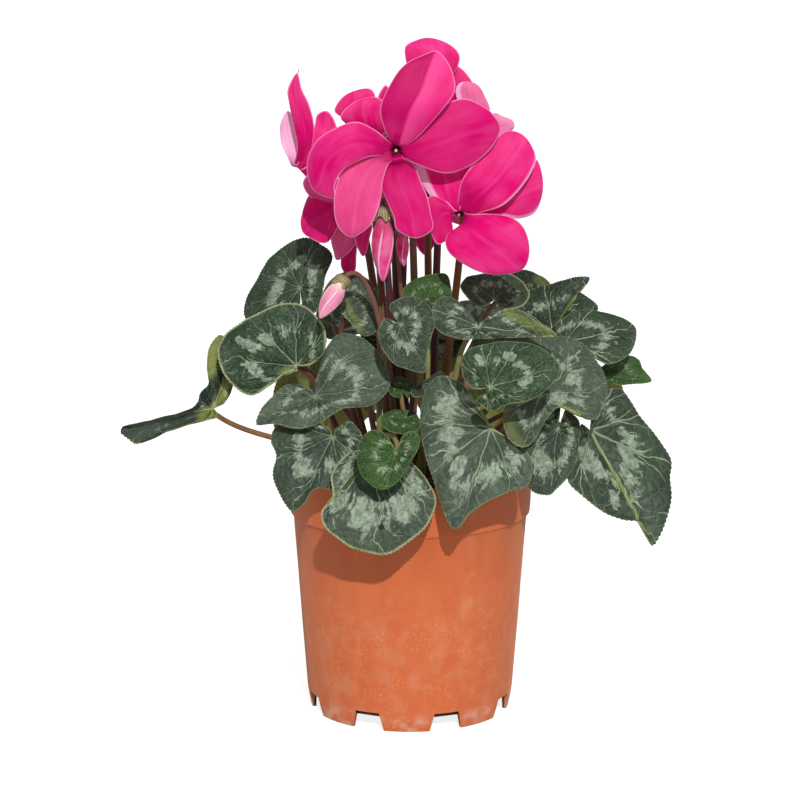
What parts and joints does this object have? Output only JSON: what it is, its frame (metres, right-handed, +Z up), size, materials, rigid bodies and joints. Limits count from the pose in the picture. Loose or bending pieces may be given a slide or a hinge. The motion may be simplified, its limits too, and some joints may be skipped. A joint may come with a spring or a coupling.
{
  "type": "potted cyclamen",
  "caption": "Florist's cyclamen in a plain plastic nursery pot: silver-marked heart leaves, nodding magenta flowers with swept-back petals, and buds.",
  "frame": {"origin": "middle of the object's box at the height of the pot's feet", "axes": "+Z up, from the pot's feet to the flowers; the plant's front, with the open flower, looks along -Y; +X to the right as seen from the front"},
  "size_m": [0.2648, 0.1788, 0.3262],
  "materials": {
    "pot": "satin moulded plastic",
    "soil": "loose peat compost",
    "corm": "corky, scurfy",
    "leaf": "thick leaf, satin, silver marked",
    "leaf_young": "young leaf, satin",
    "petal": "soft petal with fine streaks",
    "bud_petal": "soft furled petals",
    "flower_stem": "satin, reddish brown"
  },
  "bodies": {
    "root": {"pot": "pot", "soil": "soil", "corm": "corm", "leaf_left_upper": "leaf", "leaf_left_middle": "leaf", "leaf_left_folded": "leaf", "leaf_left_far": "leaf", "leaf_left_low": "leaf", "leaf_front_low": "leaf", "leaf_front_small": "leaf_young", "leaf_front_right": "leaf", "leaf_right_round": "leaf", "leaf_right_middle": "leaf", "leaf_right_low": "leaf", "leaf_right_hanging": "leaf", "leaf_right_small": "leaf_young", "leaf_right_upper": "leaf", "leaf_right_veined": "leaf", "leaf_right_behind": "leaf", "leaf_centre_cupped": "leaf", "leaf_centre_upper": "leaf", "leaf_centre_silver": "leaf", "leaf_centre_bright": "leaf_young", "leaf_young_high": "leaf_young", "leaf_young_low": "leaf_young", "leaf_behind_bud": "leaf", "leaf_centre_brown": "leaf", "leaf_back_right_upper": "leaf", "leaf_back_middle": "leaf", "leaf_back_left_upper": "leaf", "leaf_back_left": "leaf", "leaf_back_right": "leaf", "leaf_back_left_low": "leaf", "leaf_back_right_low": "leaf", "bloom_front_petals": "petal", "bloom_front_stem": "flower_stem", "bloom_right_petals": "petal", "bloom_right_stem": "flower_stem", "bloom_top_petals": "petal", "bloom_top_stem": "flower_stem", "bloom_left_petals": "petal", "bloom_left_stem": "flower_stem", "bloom_left_low_petals": "petal", "bloom_left_low_stem": "flower_stem", "bloom_back_left_petals": "petal", "bloom_back_left_stem": "flower_stem", "bloom_back_right_petals": "petal", "bloom_back_right_stem": "flower_stem", "bloom_back_petals": "petal", "bloom_back_stem": "flower_stem", "bud_long_petals": "bud_petal", "bud_long_stem": "flower_stem", "bud_small_petals": "bud_petal", "bud_small_stem": "flower_stem", "bud_slim_petals": "bud_petal", "bud_slim_stem": "flower_stem"}
  },
  "joints": []
}
